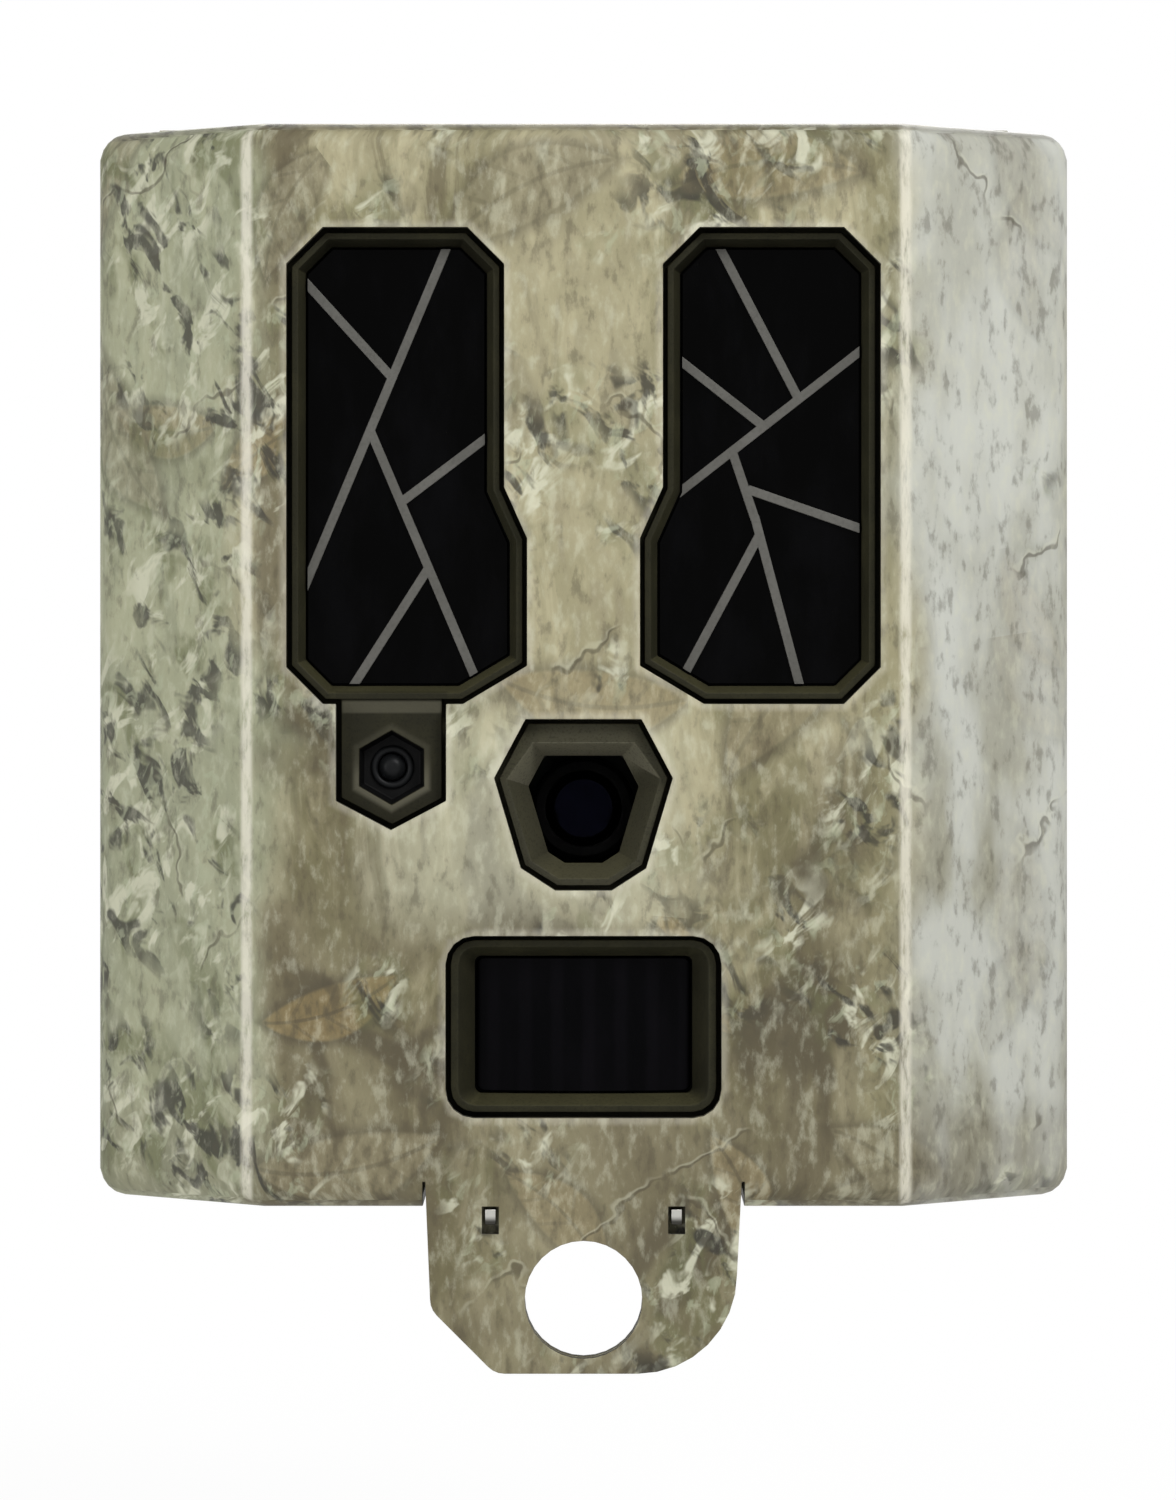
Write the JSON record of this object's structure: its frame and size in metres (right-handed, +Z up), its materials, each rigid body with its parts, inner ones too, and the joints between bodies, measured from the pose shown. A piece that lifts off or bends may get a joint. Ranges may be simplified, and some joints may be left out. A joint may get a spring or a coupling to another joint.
{
  "type": "trail camera in a lock box",
  "caption": "Sheet-steel lock box with a top-hinged camouflage cover and padlock tab, holding a trail camera whose infrared windows, lens and motion sensor show through cut-outs.",
  "frame": {"origin": "centre of the tray's rear face, halfway up the box without its lock tab", "axes": "+Z up, the front with the windows faces -Y, +X to the right as seen from the front"},
  "size_m": [0.13, 0.08, 0.1656],
  "materials": {
    "camo_steel": "satin bark-pattern camouflage coat on bent sheet steel",
    "plain_steel": "bright plated steel",
    "olive_plastic": "fine moulded texture, dark olive",
    "black_plastic": "satin moulded black",
    "dark_pane": "polished, passes infrared only",
    "lens_glass": "coated, clear",
    "circuit_board": "green solder mask on glass fibre",
    "black_rubber": "matt",
    "brass": "turned",
    "cell_jacket": "plain printed sleeve over steel"
  },
  "bodies": {
    "box": {"box_tray": "camo_steel", "hinge_pin": "plain_steel", "side_bracket_left": "camo_steel", "side_bracket_right": "camo_steel", "rear_pad_left": "black_rubber", "rear_pad_right": "black_rubber", "floor_pad_left": "black_rubber", "floor_pad_right": "black_rubber", "front_shell": "olive_plastic", "rear_shell": "olive_plastic", "door_seal": "black_rubber", "door_pin": "plain_steel", "led_window_left": "dark_pane", "led_window_right": "dark_pane", "led_board_left": "circuit_board", "led_board_right": "circuit_board", "lens_window": "dark_pane", "lens_barrel": "black_plastic", "lens_glass": "lens_glass", "lens_holder": "black_plastic", "sensor_board": "circuit_board", "pir_window": "dark_pane", "pir_sensor": "plain_steel", "light_sensor": "dark_pane", "main_board": "circuit_board", "keypad_sheet": "black_rubber", "display": "dark_pane", "control_panel": "black_plastic", "panel_screw_1": "plain_steel", "panel_screw_2": "plain_steel", "panel_screw_3": "plain_steel", "panel_screw_4": "plain_steel", "card_slot": "plain_steel", "battery_tray": "black_plastic", "battery_1": "cell_jacket", "battery_2": "cell_jacket", "battery_3": "cell_jacket", "battery_4": "cell_jacket", "battery_5": "cell_jacket", "battery_6": "cell_jacket", "battery_7": "cell_jacket", "battery_8": "cell_jacket", "contact_strip_upper": "plain_steel", "contact_strip_lower": "plain_steel", "tripod_insert": "brass"},
    "cover": {"box_cover": "camo_steel"},
    "latch_upper": {"latch_upper": "black_plastic"},
    "latch_lower": {"latch_lower": "black_plastic"},
    "ir_cut_filter": {"ir_cut_filter": "lens_glass"},
    "button_up": {"button_up": "black_plastic"},
    "button_down": {"button_down": "black_plastic"},
    "button_left": {"button_left": "black_plastic"},
    "button_right": {"button_right": "black_plastic"},
    "button_ok": {"button_ok": "black_plastic"},
    "power_switch": {"power_switch": "black_plastic"},
    "memory_card": {"memory_card": "black_plastic"}
  },
  "joints": [
    {"name": "cover_hinge", "type": "hinge", "parent": "box", "child": "cover", "pos_m": [0, -0.048, 0.07015], "axis": [-1, 0, 0], "range_deg": [0, 120]},
    {"name": "latch_upper_pivot", "type": "hinge", "parent": "box", "child": "latch_upper", "pos_m": [0.0484, -0.0468, 0.029], "axis": [0, 0, -1], "range_deg": [0, 80]},
    {"name": "latch_lower_pivot", "type": "hinge", "parent": "box", "child": "latch_lower", "pos_m": [0.0484, -0.0468, -0.031], "axis": [0, 0, -1], "range_deg": [0, 80]},
    {"name": "ir_cut_slide", "type": "slide", "parent": "box", "child": "ir_cut_filter", "axis": [1, 0, 0], "range_m": [0, 0.008]},
    {"name": "button_up_press", "type": "slide", "parent": "box", "child": "button_up", "axis": [0, -1, 0], "range_m": [0, 0.0008], "stiffness_N_per_m": 400},
    {"name": "button_down_press", "type": "slide", "parent": "box", "child": "button_down", "axis": [0, -1, 0], "range_m": [0, 0.0008], "stiffness_N_per_m": 400},
    {"name": "button_left_press", "type": "slide", "parent": "box", "child": "button_left", "axis": [0, -1, 0], "range_m": [0, 0.0008], "stiffness_N_per_m": 400},
    {"name": "button_right_press", "type": "slide", "parent": "box", "child": "button_right", "axis": [0, -1, 0], "range_m": [0, 0.0008], "stiffness_N_per_m": 400},
    {"name": "button_ok_press", "type": "slide", "parent": "box", "child": "button_ok", "axis": [0, -1, 0], "range_m": [0, 0.0008], "stiffness_N_per_m": 400},
    {"name": "power_switch_slide", "type": "slide", "parent": "box", "child": "power_switch", "axis": [1, 0, 0], "range_m": [-0.003, 0.003]},
    {"name": "memory_card_slide", "type": "slide", "parent": "box", "child": "memory_card", "axis": [1, 0, 0], "range_m": [0, 0.004]}
  ]
}
